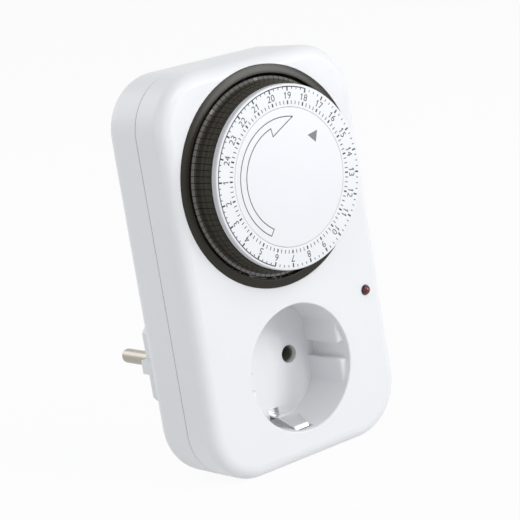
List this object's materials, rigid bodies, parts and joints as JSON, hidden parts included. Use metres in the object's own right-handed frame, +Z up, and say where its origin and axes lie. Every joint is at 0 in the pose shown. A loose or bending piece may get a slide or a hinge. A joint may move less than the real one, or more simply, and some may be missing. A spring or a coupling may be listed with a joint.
{
  "type": "plug in timer switch",
  "caption": "Plug-in mains timer switch: rounded upright case with a turning dial of push segments over a recessed earthed socket, and an earthed plug on the back.",
  "frame": {"origin": "centre of the plug's pin face, on the plug's axis", "axes": "+X right seen from the front, +Y into the wall along the pins, +Z up"},
  "size_m": [0.077, 0.0899, 0.1254],
  "materials": {
    "case_white": "satin moulded",
    "dial_black": "moulded, slightly glossy",
    "segment_black": "moulded, slightly glossy",
    "scale_white": "printed satin",
    "slide_grey": "moulded satin",
    "gear_plastic": "natural acetal",
    "carrier_plastic": "natural polyamide",
    "steel_plate": "zinc plated",
    "zinc_screw": "zinc plated",
    "spring_steel": "bright",
    "brass_turned": "turned",
    "contact_brass": "stamped",
    "pin_nickel": "nickel plated",
    "lens_red": "clear red",
    "lamp_glass": "clear",
    "resistor_body": "lacquered"
  },
  "bodies": {
    "housing": {"bracket_rivet": "brass_turned", "centre_disc": "scale_white", "contact_carrier": "carrier_plastic", "cover_screws": "zinc_screw", "dial_collar": "dial_black", "dial_hub": "brass_turned", "earth_clips": "pin_nickel", "earth_rivet": "brass_turned", "front_cover": "case_white", "gear_arbor": "spring_steel", "hub_clip": "spring_steel", "indicator_lens": "lens_red", "lamp_resistor": "resistor_body", "lever_bracket": "steel_plate", "lever_pin": "spring_steel", "live_inlet": "contact_brass", "live_outlet": "contact_brass", "live_sleeve": "contact_brass", "mechanism_plate": "steel_plate", "motor_can": "steel_plate", "motor_screws": "zinc_screw", "neon_lamp": "lamp_glass", "neutral_link": "contact_brass", "neutral_sleeve": "contact_brass", "pin_carrier": "carrier_plastic", "plate_screws": "zinc_screw", "plug_boss": "case_white", "plug_earth_bracket": "pin_nickel", "plug_pin_left": "pin_nickel", "plug_pin_right": "pin_nickel", "plug_plinth": "case_white", "rear_cover": "case_white", "socket_floor": "case_white"},
    "dial": {"dial_wheel": "dial_black", "scale_ring": "scale_white"},
    "segments_night": {"segments_night": "segment_black"},
    "segments_morning": {"segments_morning": "segment_black"},
    "segments_afternoon": {"segments_afternoon": "segment_black"},
    "segments_evening": {"segments_evening": "segment_black"},
    "reduction": {"reduction_gear": "gear_plastic"},
    "motor_output": {"motor_pinion": "brass_turned"},
    "override": {"override_slide": "slide_grey"},
    "lever": {"switch_lever": "gear_plastic", "moving_contact": "contact_brass"}
  },
  "joints": [
    {"name": "dial_turn", "type": "hinge", "parent": "housing", "child": "dial", "pos_m": [0, -0.0617, 0.0611], "axis": [0, 1, 0], "continuous": true},
    {"name": "segments_night_push", "type": "slide", "parent": "dial", "child": "segments_night", "axis": [0, 1, 0], "range_m": [0, 0.003]},
    {"name": "segments_morning_push", "type": "slide", "parent": "dial", "child": "segments_morning", "axis": [0, 1, 0], "range_m": [0, 0.003]},
    {"name": "segments_afternoon_push", "type": "slide", "parent": "dial", "child": "segments_afternoon", "axis": [0, 1, 0], "range_m": [0, 0.003]},
    {"name": "segments_evening_push", "type": "slide", "parent": "dial", "child": "segments_evening", "axis": [0, 1, 0], "range_m": [0, 0.003]},
    {"name": "reduction_turn", "type": "hinge", "parent": "housing", "child": "reduction", "pos_m": [-0.01858, -0.0537, 0.03456], "axis": [0, 1, 0], "continuous": true},
    {"name": "motor_output_turn", "type": "hinge", "parent": "housing", "child": "motor_output", "pos_m": [-0.00998, -0.0512, 0.04685], "axis": [0, 1, 0], "continuous": true},
    {"name": "override_push", "type": "slide", "parent": "housing", "child": "override", "axis": [0, 0, 1], "range_m": [0, 0.004]},
    {"name": "lever_rock", "type": "hinge", "parent": "housing", "child": "lever", "pos_m": [0.0254, -0.0501, 0.046], "axis": [-1, 0, 0], "range_deg": [0, 5]}
  ],
  "couplings": [
    {"joint": "reduction_turn", "follows": "dial_turn", "ratio": -8},
    {"joint": "motor_output_turn", "follows": "dial_turn", "ratio": 32},
    {"joint": "lever_rock", "follows": "override_push", "rad_per_m": 21.8}
  ]
}
